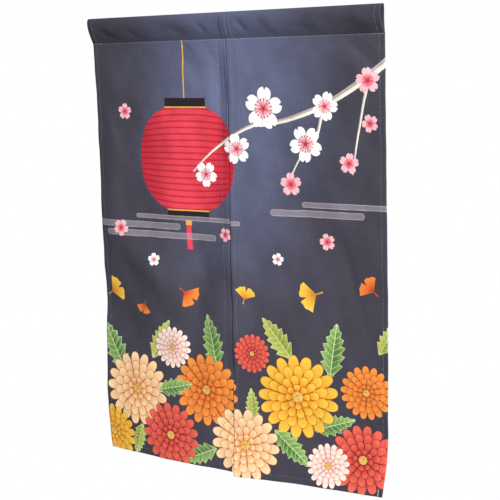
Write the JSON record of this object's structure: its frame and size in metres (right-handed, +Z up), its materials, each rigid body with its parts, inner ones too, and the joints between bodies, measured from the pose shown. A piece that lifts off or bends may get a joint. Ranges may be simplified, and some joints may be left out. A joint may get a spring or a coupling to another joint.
{
  "type": "noren curtain",
  "caption": "Doorway curtain of two printed cloth panels with a slit between them, hung from one rod sleeve along the top.",
  "frame": {"origin": "middle of the curtain's top edge, where a rod in the sleeve carries it", "axes": "+Z up, X across the curtain with +X to the right as seen from the front, the printed front faces -Y"},
  "size_m": [0.853, 0.0635, 1.211],
  "materials": {
    "printed_cloth": "matt printed polyester linen"
  },
  "bodies": {
    "root": {"heading": "printed_cloth", "panel_left": "printed_cloth", "panel_right": "printed_cloth"}
  },
  "joints": []
}
